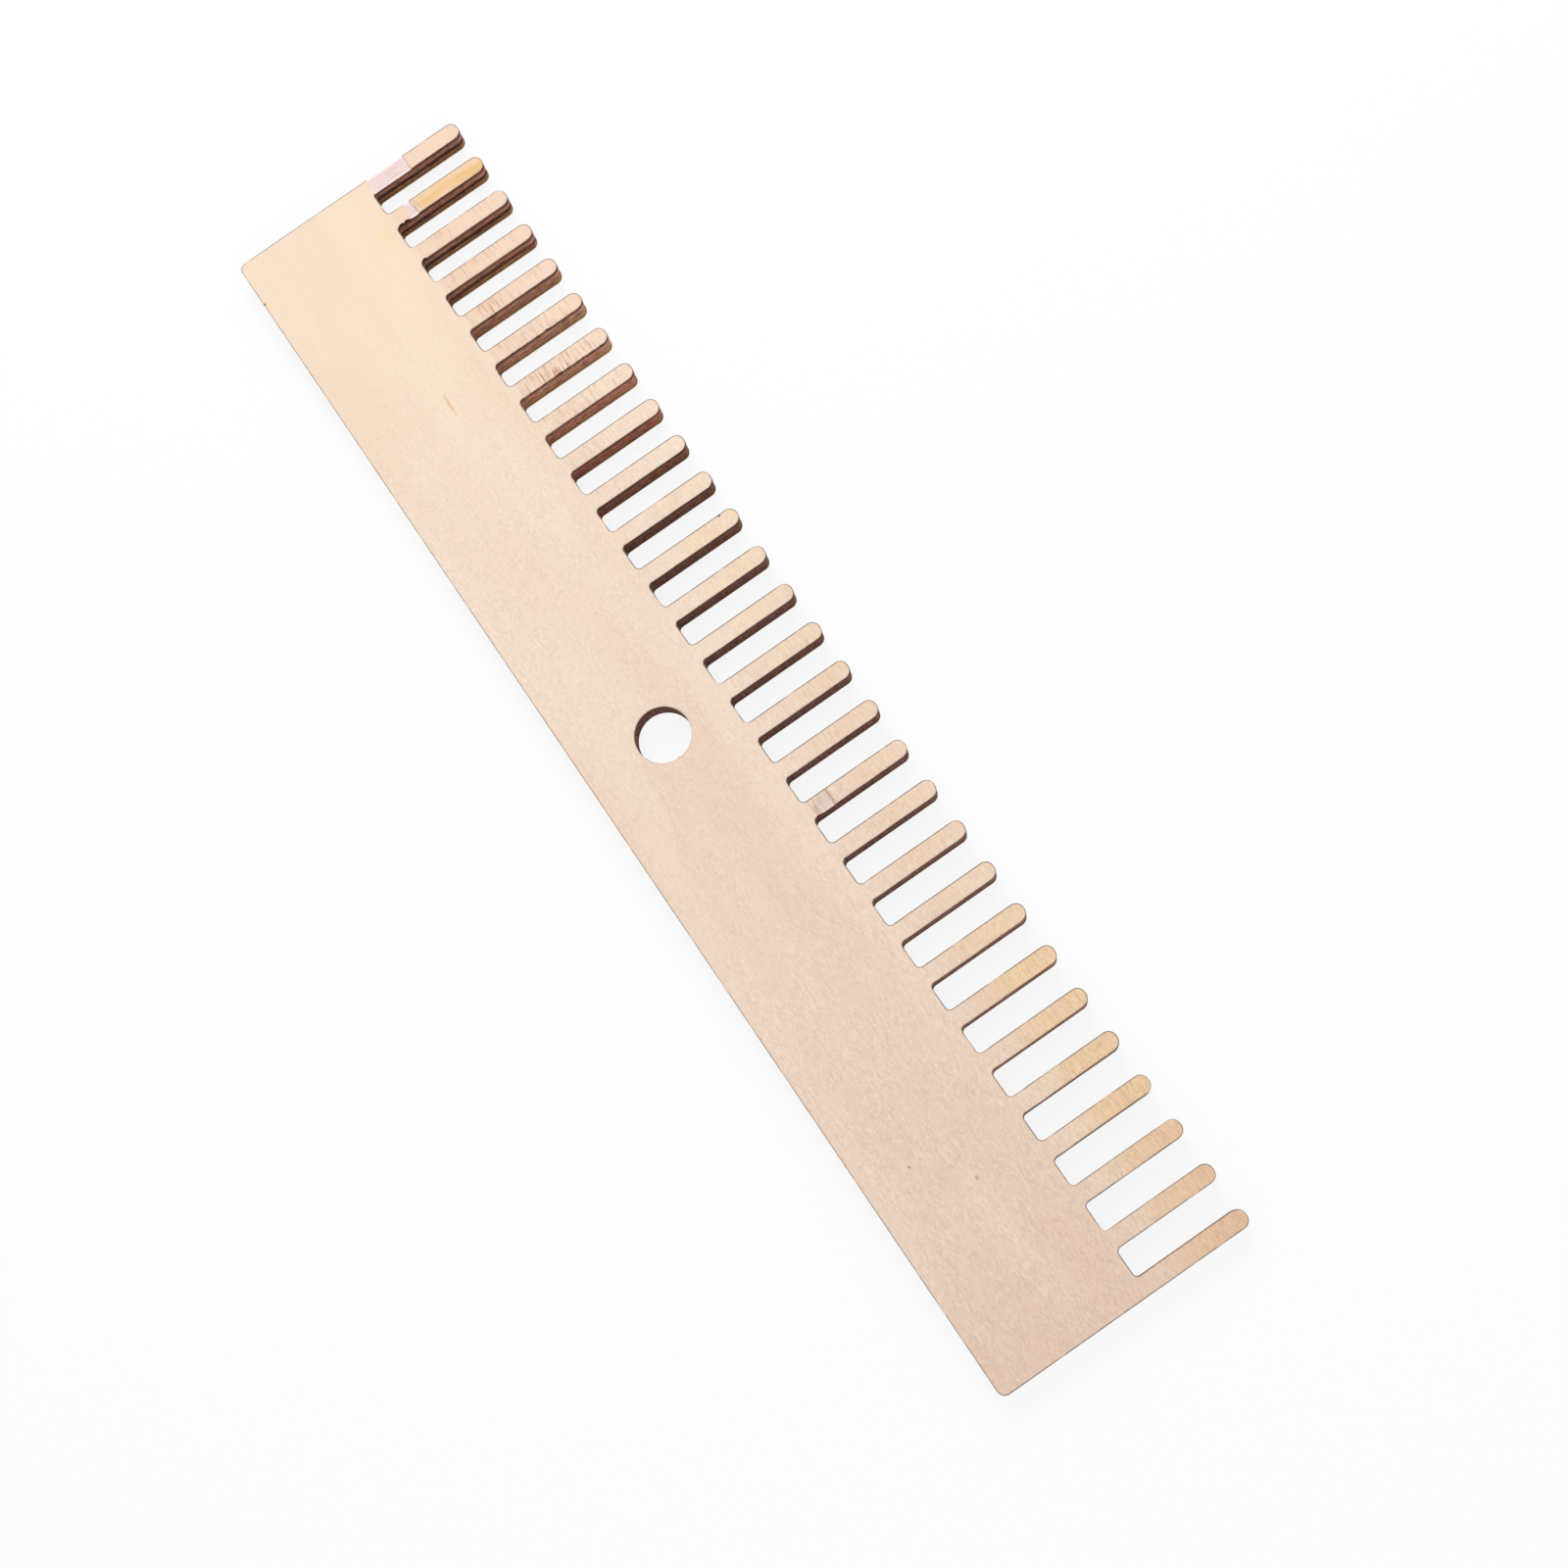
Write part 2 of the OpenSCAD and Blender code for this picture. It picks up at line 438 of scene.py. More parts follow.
veneerLook = dict(
    pale=tone(245, 223, 202),
    warm=tone(241, 216, 195),
    # tint by place along the comb, in millimetres: the veneer's own tone, and the drop at the far end is
    # partly painted shade where the light falls off
    tints=((-75, (0.998, 0.996, 0.975)), (-52, (1.02, 1.03, 1.025)), (-10, (1.015, 1.026, 1.045)),
           (20, (1.017, 1.005, 1.003)), (60, (1.017, 0.996, 0.991)), (80, (1.015, 0.992, 0.988)),
           (100, (0.966, 0.91, 0.895))),
    # how clear the grain is, in two rises along the comb: from place, to place, least, most
    clearer=((-95, -30, 0.15, 0.76), (20, 70, 0.0, 0.34)),
    fibre=(0.985, 0.975, 0.965, 1.0),
    # the flecks are the grain's own specks, and partly painted light and shade on the sides of its raised
    # fibres
    darkFleck=(0.915, 0.893, 0.877, 1.0),
    lightFleck=(1.055, 1.075, 1.09, 1.0),
    pore=(0.91, 0.88, 0.86, 1.0),
    glint=(1.08, 1.10, 1.12, 1.0),
    dryLine=(0.78, 0.59, 0.53, 1.0),
    dryLift=(1.08, 1.14, 1.18, 1.0),
    scorch=tone(140, 122, 115),
    scorchWidth=(0.22, 0.06),  # where the burnt rim starts and where it is full
    split=tone(160, 102, 84),
    # a raised fibre beside a check, painted near white as a highlight
    liftedHighlight=tone(252, 240, 228),
    torn=tone(237, 214, 210),
    tornStreak=tone(227, 200, 199),
    # pale rim of a chip along the cut edge: torn fibres, partly a painted highlight on the broken edge
    tornRimHighlight=tone(247, 233, 231),
    tornRimWidth=(0.45, 0.05),
    amber=(0.97, 0.81, 0.49, 1.0),
    tan=(0.995, 0.915, 0.71, 1.0),
    pinkTan=(1.0, 0.90, 0.78, 1.0),
    rosy=(0.972, 0.92, 0.895, 1.0),
    gloss=0.18,
    bump=(1.0, 0.06),  # strength, and depth in millimetres
    fibreHeight=0.3,  # against the flecks
    spotDepth=2.0,  # a spot reaches this far into the sheet, so that none shows on the back
    spotFade=(1.0, 0.3),  # where a spot starts and where it is full, in shares of its size
    spots=(  # place along, place across, half length, half width, strength, colour
        (-60.9, -5.3, 2.6, 0.7, 0.4, tone(246, 216, 166)),
        (-60.9, -5.3, 2.4, 0.3, 0.42, tone(206, 166, 112)),
        (-90.2, 1.4, 3.0, 1.6, 0.4, tone(247, 217, 165)),
        (-91.4, -19.3, 1.1, 0.6, 0.5, tone(252, 218, 164)),
        (-92.1, -19.75, 0.35, 0.28, 0.9, tone(112, 76, 48)),
        (68.9, -12.85, 0.3, 0.2, 0.6, tone(134, 98, 72)),
        (75.15, -6.2, 0.4, 0.22, 0.45, tone(150, 110, 78)),
        (-22.38, 17.5, 0.38, 0.3, 1.0, tone(40, 28, 22)),
        (70.2, 17.2, 0.7, 0.9, 0.45, tone(206, 180, 118)),
        (-55.68, 10.6, 0.45, 0.75, 0.42, tone(205, 138, 112)),
        (21.1, 5.9, 2.4, 2.4, 0.3, tone(212, 182, 172)),
    ),
    noises=dict(  # waves to the millimetre along X, Y and Z, and character
        cloud=dict(along=0.02, across=0.09, detail=3),
        fibre=dict(along=0.3, across=6.0, through=1.0, detail=3, rough=0.6),
        fleck=dict(along=1.5, across=4.4, through=1.0, rough=0.6, shift=40, bend=0.4),
        patch=dict(along=0.22, across=0.4, shift=61),
        pores=dict(along=0.8, across=5.0, through=1.0, detail=1, shift=57, bend=0.2),
        blotch=dict(along=0.28, across=0.28, detail=3, shift=23),
        streak=dict(along=1.1, across=0.09, shift=7),
        crackle=dict(along=0.3, across=2.6, shift=31, bend=0.1),
        stripes=dict(along=4.5, across=0.3, shift=3),
        smoulder=dict(along=0.25, across=0.25, detail=3, shift=11),
    ),
    levels=dict(  # which noise, from value, to value, and the least and most that it gives there
        warm=("cloud", 0.35, 0.65),
        fibre=("fibre", 0.42, 0.62),
        flecked=("patch", 0.36, 0.6, 0.45, 1.0),
        lightFleck=("fleck", 0.33, 0.67),
        pore=("pores", 0.33, 0.25),
        glint=("pores", 0.66, 0.74),
        tan=("blotch", 0.36, 0.6),
        amber=("streak", 0.28, 0.6, 0.25, 1.0),
        dryLine=("crackle", 0.56, 0.66),
        dryLift=("crackle", 0.44, 0.34),
        spotEdge=("fleck", 0.2, 0.8, -0.35, 0.35),
        tornStreak=("stripes", 0.42, 0.66),
        scorch=("smoulder", 0.34, 0.52, 0.25, 1.0),
        rough=("fibre", 0.3, 0.7, 0.62, 0.8),
    ),
)


def faceVeneerFinish():
    look = veneerLook
    f = Finish("faceVeneer")
    noises = {name: f.grain(**kind) for name, kind in look["noises"].items()}

    def level(name):
        kind, *limits = look["levels"][name]
        return f.step(noises[kind], *limits)

    def tinted(share, tint):
        return f.mix(share, colour, f.mix(1.0, colour, tint, "MULTIPLY"))

    # plain veneer
    colour = f.mix(level("warm"), look["pale"], look["warm"])
    # tinted along the comb; the darkening at the far end is partly painted shade
    colour = f.mix(1.0, colour, f.ramp(f.axis("X"), look["tints"]), "MULTIPLY")
    clearer = f.calc("ADD", *(f.step(f.axis("X"), *rise) for rise in look["clearer"]))
    colour = tinted(f.calc("MULTIPLY", level("fibre"), clearer), look["fibre"])
    # flecks of the grain, partly painted light and shade of raised fibres
    flecked = f.calc("MULTIPLY", level("flecked"), clearer)
    colour = tinted(flecked, f.mix(level("lightFleck"), look["darkFleck"], look["lightFleck"]))
    for detail in ("pore", "glint"):
        colour = tinted(f.calc("MULTIPLY", level(detail), clearer), look[detail])

    # stains and dry fibres
    colour = tinted(f.mark("tan"), f.mix(level("tan"), look["pinkTan"], look["tan"]))
    colour = tinted(f.mark("rosy"), look["rosy"])
    colour = tinted(f.calc("MULTIPLY", f.mark("amber"), level("amber")), look["amber"])
    dry = f.mark("dry")
    crack = f.calc("MULTIPLY", level("dryLine"), dry)
    colour = tinted(crack, look["dryLine"])
    colour = tinted(f.calc("MULTIPLY", level("dryLift"), dry), look["dryLift"])
    spotEdge = level("spotEdge")
    for along, across, length, width, strength, stain in look["spots"]:
        centre = (along, across, sheetHigh.z)
        nearness = (1 / length, 1 / width, 1 / look["spotDepth"])
        offset = f.node("VectorMath", {0: f.place, 1: centre}, operation="SUBTRACT")
        offset = f.node("VectorMath", {0: offset, 1: nearness}, operation="MULTIPLY")
        reach = f.node("VectorMath", {0: offset}, output="Value", operation="LENGTH")
        ragged = f.calc("ADD", reach, spotEdge)
        colour = f.mix(f.step(ragged, *look["spotFade"], 0.0, strength), colour, stain)

    # chips, checks and the burnt rim
    edge = f.mark("edge")
    bare = f.mix(level("tornStreak"), look["torn"], look["tornStreak"])
    # the chip's rim along the cut edge, partly a painted highlight
    bare = f.mix(f.step(edge, *look["tornRimWidth"]), bare, look["tornRimHighlight"])
    colour = f.mix(f.mark("torn"), colour, bare)
    check = f.mark("check")
    colour = f.mix(check, colour, look["split"])
    # painted highlight of raised fibres beside the strongest checks
    colour = f.mix(f.step(check, 0.0, -1.0), colour, look["liftedHighlight"])
    burnt = f.calc("MULTIPLY", f.step(edge, *look["scorchWidth"]), f.mark("burn"))
    colour = f.mix(f.calc("MULTIPLY", burnt, level("scorch")), colour, look["scorch"])

    height = f.calc("MULTIPLY_ADD", noises["fibre"], look["fibreHeight"], noises["fleck"])
    height = f.calc("SUBTRACT", f.calc("MULTIPLY", height, flecked), crack)
    return f.set(colour=colour, rough=level("rough"), gloss=look["gloss"],
                 normal=f.bump(height, *look["bump"]))


edgeLook = dict(
    # colour of the cut edge by height above the back face, in millimetres
    bands=((0.0, tone(186, 140, 78)), (0.6, tone(188, 143, 92)), (1.2, tone(172, 122, 98)),
           (2.1, tone(182, 130, 108)), (2.8, tone(172, 121, 98)), (3.05, tone(124, 80, 62)),
           (3.3, tone(84, 49, 35)), (3.5, tone(72, 43, 32))),
    # how heavily it is scorched, by place along the comb in millimetres; the dark dip over the middle teeth
    # is painted shade
    scorch=((-100, (0.95, 0.93, 0.90)), (-78, (0.98, 0.96, 0.94)), (-70, (1.07, 1.11, 1.12)),
            (-63, (1.14, 1.32, 1.42)), (-56, (1.27, 1.44, 1.52)), (-49, (1.20, 1.22, 1.27)),
            (-42, (0.88, 0.70, 0.65)), (-30, (0.40, 0.28, 0.25)), (30, (0.40, 0.28, 0.25)),
            (45, (0.62, 0.50, 0.46)), (60, (0.82, 0.72, 0.67)), (75, (0.92, 0.84, 0.78)),
            (90, (0.92, 0.84, 0.78)), (97, (1.3, 1.3, 1.3))),
    # noises: waves to the millimetre along X, Y and Z; the lines and the mottle follow the layer's fibres
    wander=dict(along=0.12, across=0.12, through=0.2),
    wobble=0.6,  # how far the bands wander, in millimetres
    fibres=(0.35, 2.5),  # waves to the millimetre, along the fibres and across them
    lines=dict(through=6.5, detail=3, rough=0.6),
    strike=dict(along=4.0, across=4.0, through=0.3, shift=9),
    streak=tone(68, 33, 17),
    streakHeight=1.48,
    streakWidth=(0.56, 0.28),  # where the dark streak starts and where it is full
    streakEdge=(0.2, 0.8, -0.2, 0.2),  # values of the lines, and how far they push its edge
    streakReach=(-79, -67, 1.0, 0.12),  # it fades from place to place along the comb, from share to share
    soot=tone(70, 40, 29),
    sootLines=(0.46, 0.64),  # values of the lines between which soot sets in
    sootStrike=(0.3, 0.7, 0.4, 1.0),  # values of the strike, and how much of the soot they leave
    sootRise=(2.6, 0.3),  # it gathers towards the roots: heights, and its share at either
    sootShare=(0.3, 0.8),
    mottle=((0.36, (0.64, 0.57, 0.55)), (0.5, (1.0, 1.0, 1.0)), (0.64, (1.28, 1.2, 1.14))),
    mottleGrain=dict(through=2.2, detail=3, shift=15),
    mottleFiner=0.5,  # waves to the millimetre that the mottle has more than the lines
    rough=(0.3, 0.7, 0.6, 0.85),  # values of the strike, and the roughness at either
    bump=(0.6, 0.05),
    gloss=0.2,
)


def cutEdgeFinish(name, alongX, alongY):
    # the grain of the layer has this many waves to the millimetre along X and Y
    look = edgeLook
    f = Finish(name)
    half = look["wobble"] / 2
    level = f.calc("ADD", f.axis("Z"), f.step(f.grain(**look["wander"]), 0.0, 1.0, -half, half))
    colour = f.ramp(level, look["bands"])
    lines = f.grain(alongX, alongY, **look["lines"])
    strike = f.grain(**look["strike"])

    fromStreak = f.calc("ABSOLUTE", f.calc("SUBTRACT", level, look["streakHeight"]))
    ragged = f.calc("ADD", fromStreak, f.step(lines, *look["streakEdge"]))
    fading = f.step(f.axis("X"), *look["streakReach"])
    streak = f.calc("MULTIPLY", f.step(ragged, *look["streakWidth"]), fading)
    colour = f.mix(streak, colour, look["streak"])
    low, high = look["sootRise"]
    rootward = f.step(f.axis("Y"), rootLine + low, rootLine + high, *look["sootShare"])
    dirt = f.calc("MULTIPLY", f.step(lines, *look["sootLines"]), f.step(strike, *look["sootStrike"]))
    colour = f.mix(f.calc("MULTIPLY", dirt, rootward), colour, look["soot"])
    finer = look["mottleFiner"]
    mottle = f.grain(alongX + finer, alongY + finer, **look["mottleGrain"])
    colour = f.mix(1.0, colour, f.ramp(mottle, look["mottle"]), "MULTIPLY")
    # scorch along the comb, with painted shade darkening the middle teeth
    colour = f.mix(1.0, colour, f.ramp(f.axis("X"), look["scorch"]), "MULTIPLY")
    height = f.calc("ADD", lines, strike)
    return f.set(colour=colour, rough=f.step(strike, *look["rough"]), gloss=look["gloss"],
                 normal=f.bump(height, *look["bump"]))


glueLook = dict(
    dark=tone(74, 45, 31),
    light=tone(112, 76, 58),
    patches=dict(along=0.8, across=0.8, through=1.5, detail=3),
    lighter=(0.4, 0.65),  # values of the patches between which the light colour sets in
    rough=(0.3, 0.7, 0.45, 0.7),
    bump=(0.4, 0.03),
    gloss=0.3,
)


def glueFilmFinish():
    look = glueLook
    f = Finish("scorchedGlue")
    patches = f.grain(**look["patches"])
    colour = f.mix(f.step(patches, *look["lighter"]), look["dark"], look["light"])
    return f.set(colour=colour, rough=f.step(patches, *look["rough"]), gloss=look["gloss"],
                 normal=f.bump(patches, *look["bump"]))


alongFibres, acrossFibres = edgeLook["fibres"]
faceVeneer = faceVeneerFinish()
scorchedVeneer = cutEdgeFinish("scorchedVeneer", alongFibres, acrossFibres)
scorchedCore = cutEdgeFinish("scorchedCore", acrossFibres, alongFibres)
scorchedGlue = glueFilmFinish()
print("finishes made")


# wear on the front face, in millimetres, with heights above the root line
# places and lengths across a tooth are shares of its width
frontWear = dict(
    seed=29,
    wornTeeth=(*range(11), 17),  # meshed finely
    chips=(  # tooth, from height, to height, width lost from the right, how softly it ends, how bare it is
        (0, 0.3, 7.1, 1.2, 0.12, 1.0),
        (1, 2.6, 4.1, 1.2, 0.12, 1.0),
        (17, 1.5, 3.75, 0.85, 0.55, 0.55),
    ),
    chipSkin=0.3,  # veneer left in a chip
    chipFade=0.2,  # height over which it sets in
    chipRough=(0.02, 4.0, 0.6),  # swing of its floor, and waves to the millimetre along X and Y
    chipRosy=1.25,  # pink of a chip that isn't bare
    nibbles=(  # tooth, side (1 is the right), height, half length, depth
        (1, 1, 0.9, 0.4, 0.22),
        (1, 1, 1.9, 0.4, 0.25),
        (2, 1, 0.7, 0.4, 0.2),
        (4, 1, 4.8, 0.15, 0.05),
        (5, 1, 9.5, 0.25, 0.1),
        (6, 1, 7.3, 0.7, 0.09),
        (6, 1, 8.9, 0.25, 0.07),
        (6, 1, 4.6, 0.25, 0.05),
        (17, 1, 0.95, 0.3, 0.1),
    ),
    checks=(  # tooth, height, place across, half length across, strength
        (1, 4.25, 0.5, 0.5, 0.8),
        (1, 4.6, 0.4, 0.45, 0.6),
        (1, 4.9, 0.6, 0.4, 0.6),
        (4, 4.8, 0.7, 0.4, 1.0),
        (4, 5.4, 0.3, 0.35, 0.6),
        (4, 3.9, 0.4, 0.45, 0.65),
        (4, 6.6, 0.7, 0.3, 0.6),
        (5, 9.3, 0.8, 0.3, 0.5),
        (5, 10.6, 0.3, 0.35, 0.4),
        (6, 4.3, 0.5, 0.6, 0.6),
        (6, 4.9, 0.6, 0.5, 0.7),
        (6, 5.8, 0.5, 0.6, 0.75),
        (6, 6.7, 0.85, 0.25, 0.9),
        (6, 7.2, 0.8, 0.3, 1.0),
        (6, 7.6, 0.85, 0.25, 0.9),
        (6, 9.0, 0.85, 0.25, 1.0),
        (6, 9.9, 0.3, 0.35, 0.4),
        (6, 12.3, 0.4, 0.45, 0.45),
        (6, 13.1, 0.5, 0.5, 0.45),
        (17, 0.8, 0.6, 0.5, 0.6),
        (17, 1.0, 0.7, 0.45, 0.5),
        (17, 1.25, 0.7, 0.5, 0.75),
        (17, 3.75, 0.5, 0.7, 0.8),
        (17, 3.86, 0.3, 0.5, 0.6),
        (17, 3.95, 0.6, 0.4, 0.5),
        (17, 5.1, 0.7, 0.3, 0.4),
    ),
    fineChecks=(  # tooth, how many, from height, to height, strength
        (2, 6, 0.8, 6.0, 0.3),
        (2, 4, 6.0, 14.0, 0.15),
        (3, 12, 0.8, 9.0, 0.32),
        (3, 4, 9.0, 14.5, 0.18),
        (4, 16, 0.8, 8.5, 0.55),
        (4, 5, 8.5, 14.5, 0.25),
        (5, 18, 1.0, 14.5, 0.45),
        (6, 28, 0.8, 14.5, 0.58),
        (7, 22, 0.8, 15.0, 0.42),
        (8, 16, 0.8, 15.0, 0.34),
        (9, 8, 0.8, 15.0, 0.25),
        (10, 5, 0.8, 15.0, 0.14),
        (17, 8, 0.3, 6.5, 0.3),
    ),
    fineHalf=(0.12, 0.4),  # least and most half length of a fine check
    fineShare=(0.4, 1.0),  # least and most of its strength
    fineLean=1.5,  # above 1, fine checks gather at the left of a tooth
    checkWidth=(0.052, 0.065),  # half width of the faintest check, and what full strength adds
    checkDepth=0.08,
    checkTilt=0.12,
    checkWave=(0.05, 7.0, 20.0),  # swing of its line; turn across the tooth and latest start, in radians
    checkFull=0.5,  # share of its length that doesn't fade
    liftedFrom=0.7,  # checks stronger than this have a raised fibre beside them, painted lighter as a highlight
    liftedAside=2.0,  # in half widths of the check
    dryness=(  # tooth, from height, to height, strength
        (2, 0.5, 15.0, 0.3),
        (3, 0.5, 15.0, 0.35),
        (4, 0.5, 8.5, 0.45),
        (4, 8.0, 15.0, 0.3),
        (5, 0.5, 15.0, 0.4),
        (6, 0.5, 15.0, 0.6),
        (7, 0.5, 15.0, 0.45),
        (8, 0.5, 15.0, 0.2),
        (9, 0.5, 15.0, 0.15),
        (10, 0.5, 15.0, 0.1),
        (13, 0.5, 15.0, 0.15),
        (14, 0.5, 15.0, 0.25),
        (15, 0.5, 15.0, 0.25),
        (16, 0.5, 15.0, 0.2),
        (17, 0.3, 7.0, 0.45),
        (17, 6.0, 15.0, 0.2),
        (18, 0.5, 15.0, 0.2),
        (19, 0.5, 15.0, 0.15),
        (20, 0.5, 15.0, 0.15),
    ),
    dryFade=0.8,  # height over which it sets in and ends
    tanDry=0.3,  # dryness of a fully tanned tooth
    raggedTeeth=(5, 6),  # right edge broken out in small steps
    ragged=0.05,
    raggedFrom=(0.15, 0.5),  # values of its noise between which a step sets in
    # noises of the wear: swing, waves to the millimetre or to the width, and row of the noise
    waver=(0.012, 1.3, 0.5),  # of the edges of every tooth
    raggedNoise=(1.0, 1.8, 4.5),
    nibbleNoise=(0.4, 5.0, 8.5),
    chipFoot=(0.25, 3.0, 0.5),
    chipTop=(0.25, 3.0, 7.5),
    chipSide=(0.12, 1.5, 3.5),
    # how burnt the rim is along the back edge, at the ends, round the hole and on either side of a tooth
    backBurn=0.7,
    endBurn=(1.7, 1.2),
    rimReach=(1.5, 0.2),  # where the burn of the back edge and the ends starts and where it is full
    holeBurn=0.3,
    holeReach=1.0,  # past the hole's edge
    leftBurn=((0, 1.9), (12, 1.9), (22, 1.4), (26, 0.9), (28, 0.5)),
    rightBurn=((14, 0.35), (24, 0.4), (26, 0.9), (28, 1.2)),
    sideFade=(1.5, 0.5),  # of the sides' burn, above the root and on either side of the shoulder
    amberTooth=1,
    amberFrom=(4.3, 5.6),
    amberLeft=0.5,  # share of the amber at the left edge, and the places across where it grows
    amberAcross=(0.15, 0.5),
    # teeth with their strength, and the heights between which the colour sets in
    rosy=(((0, 0.9), (5, 1.0), (6, 0.95), (7, 0.5), (9, 0.0)), (0.0, 1.5)),
    tan=(((9, 0.0), (11, 0.4), (12, 0.4), (14, 0.28), (20, 0.3), (21, 0.7), (22, 0.95), (25, 1.0),
          (27, 0.78), (28, 0.8)), (2.5, 10.5)),
)


def wearNoise(kind, along, tooth, side=0.0):
    swing, waves, row = frontWear[kind]
    return swing * ripple(along * waves, tooth + row, side)


def frontNibble(i, side, heights):
    # how far the edge of a tooth is eaten away
    wear = frontWear
    depth = wear["waver"][0] + wearNoise("waver", heights, i, side)
    if i in wear["raggedTeeth"] and side > 0:
        depth = depth + wear["ragged"] * smooth(wearNoise("raggedNoise", heights, i), *wear["raggedFrom"])
    for tooth, where, height, half, deep in wear["nibbles"]:
        if tooth == i and where == side:
            inside = np.clip(1 - ((heights - height) / half) ** 2, 0, 1)
            depth = depth + deep * np.sqrt(inside) * (1 + wearNoise("nibbleNoise", heights, i))
    return depth


def chipMarks(sheet):
    # where the veneer is torn off, and how bare it is there
    torn = np.zeros(len(sheet.xy))
    bareness = np.zeros(len(sheet.xy))
    fade = frontWear["chipFade"]
    for tooth, low, high, lost, soft, bare in frontWear["chips"]:
        on = sheet.tooth == tooth
        rise, across = sheet.rise[on], sheet.across[on]
        overFoot = rise - low - wearNoise("chipFoot", across, tooth)
        overTop = rise - high - wearNoise("chipTop", across, tooth)
        sideways = across + wearNoise("chipSide", rise, tooth)
        between = smooth(overFoot, 0, fade) * (1 - smooth(overTop, -fade, 0))
        torn[on] = between * smooth(sideways, 1 - lost, 1 - lost + soft)
        bareness[on] = bare
    return torn, bareness


def checkMarks(sheet):
    # cross-grain checks are above 0, and the raised fibres beside the strongest, painted as highlights, are
    # below 0
    wear = frontWear
    rng = np.random.default_rng(wear["seed"])
    check = np.zeros(len(sheet.xy))
    checks = list(wear["checks"])
    (leastHalf, mostHalf), (leastShare, mostShare) = wear["fineHalf"], wear["fineShare"]
    for tooth, many, low, high, strength in wear["fineChecks"]:
        for _ in range(many):
            height, start, half, share = rng.uniform((low, 0, leastHalf, leastShare),
                                                     (high, 1, mostHalf, mostShare))
            checks.append((tooth, height, start ** wear["fineLean"], half, strength * share))
    tiltMost = wear["checkTilt"]
    swing, turn, latest = wear["checkWave"]
    faintest, added = wear["checkWidth"]
    for tooth, height, place, half, strength in checks:
        on = sheet.tooth == tooth
        rise, across = sheet.rise[on], sheet.across[on]
        tilt, phase = rng.uniform((-tiltMost, 0), (tiltMost, latest))
        width = faintest + added * strength
        line = height + tilt * (across - toothMiddle) + swing * np.sin(across * turn + phase)
        reach = smooth(np.abs(across - place), half, half * wear["checkFull"])
        check[on] = np.maximum(check[on], strength * reach * np.clip(1 - np.abs(rise - line) / width, 0, 1))
        if strength > wear["liftedFrom"]:
            aside = line + wear["liftedAside"] * width
            beside = np.clip(1 - np.abs(rise - aside) / width, 0, 1)
            check[on] = np.where(check[on] > 0, check[on], -beside * reach)
    return check


def dryMarks(sheet, tan):
    dry = frontWear["tanDry"] * tan
    fade = frontWear["dryFade"]
    for tooth, low, high, strength in frontWear["dryness"]:
        on = sheet.tooth == tooth
        along = smooth(sheet.rise[on], low, low + fade) * smooth(sheet.rise[on], high, high - fade)
        dry[on] = np.maximum(dry[on], strength * along)
    return dry


def burnMarks(sheet):
    wear = frontWear
    x, y = sheet.xy.T
    atEnd = smooth(np.minimum(x - leftEnd, rightEnd - x), *wear["rimReach"])
    atBack = smooth(y - backEdge, *wear["rimReach"])
    ends = np.interp(x, (leftEnd, rightEnd), wear["endBurn"])
    burn = 1 + (ends - 1) * atEnd + (wear["backBurn"] - 1) * atBack
    left, right = (np.interp(sheet.tooth, *zip(*wear[name])) for name in ("leftBurn", "rightBurn"))
    side = np.where(sheet.across > toothMiddle, right, left)
    foot, top = wear["sideFade"]
    onSide = smooth(sheet.rise, 0, foot) * smooth(sheet.rise, shoulder + top, shoulder - top)
    burn = burn + (side - burn) * onSide
    burn[np.hypot(x - holeX, y - holeY) < holeRadius + wear["holeReach"]] = wear["holeBurn"]
    return burn


def arrisDrop(edge):
    # how far a face is rounded off at a distance from the cut
    arris = cut["arris"]
    return arris - np.sqrt(arris ** 2 - np.clip(arris - edge, 0, arris) ** 2)


def frontMarks(sheet, thickness):
    # what the finish reads at each point, and how far the point lies below the face
    wear = frontWear

    def toothTint(strengths, heights):
        return np.interp(sheet.tooth, *zip(*strengths)) * smooth(sheet.rise, *heights) * (sheet.tooth >= 0)

    torn, bareness = chipMarks(sheet)
    whole = 1 - torn
    check = checkMarks(sheet) * whole
    edge = rimDistance(sheet.xy)
    tan = toothTint(*wear["tan"])
    rosy = toothTint(*wear["rosy"]) + wear["chipRosy"] * torn * (1 - bareness)
    leftShare = wear["amberLeft"]
    amber = (sheet.tooth == wear["amberTooth"]) * smooth(sheet.rise, *wear["amberFrom"])
    amber = amber * (leftShare + (1 - leftShare) * smooth(sheet.across, *wear["amberAcross"]))

    swing, wavesX, wavesY = wear["chipRough"]
    rough = swing * ripple(sheet.xy[:, 0] * wavesX, sheet.xy[:, 1] * wavesY)
    lost = torn * (thickness - wear["chipSkin"] - rough)
    drop = lost + arrisDrop(edge) * whole + np.maximum(check, 0) * wear["checkDepth"]
    marks = dict(edge=edge, burn=burnMarks(sheet) * whole, torn=torn * bareness, check=check,
                 dry=dryMarks(sheet, tan), amber=amber, rosy=rosy, tan=tan)
    return marks, drop


def edgeInset(shape):
    # a cut edge waves a little and leans in towards the back
    along, through = cut["edgeWaves"]

    def inset(xy, z):
        wave = ripple(xy[:, 0] * along, xy[:, 1] * along, z * through)
        return shape["wave"] * (1 + wave) + shape["lean"] * (sheetHigh.z - z)
    return inset


def layerHeights(node):
    return [corner.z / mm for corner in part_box(node)]


# a ring of points above the glue, waves of the cut edge, and its lean to the millimetre
frontCut = dict(ring=0.015, wave=0.008, lean=0.004)


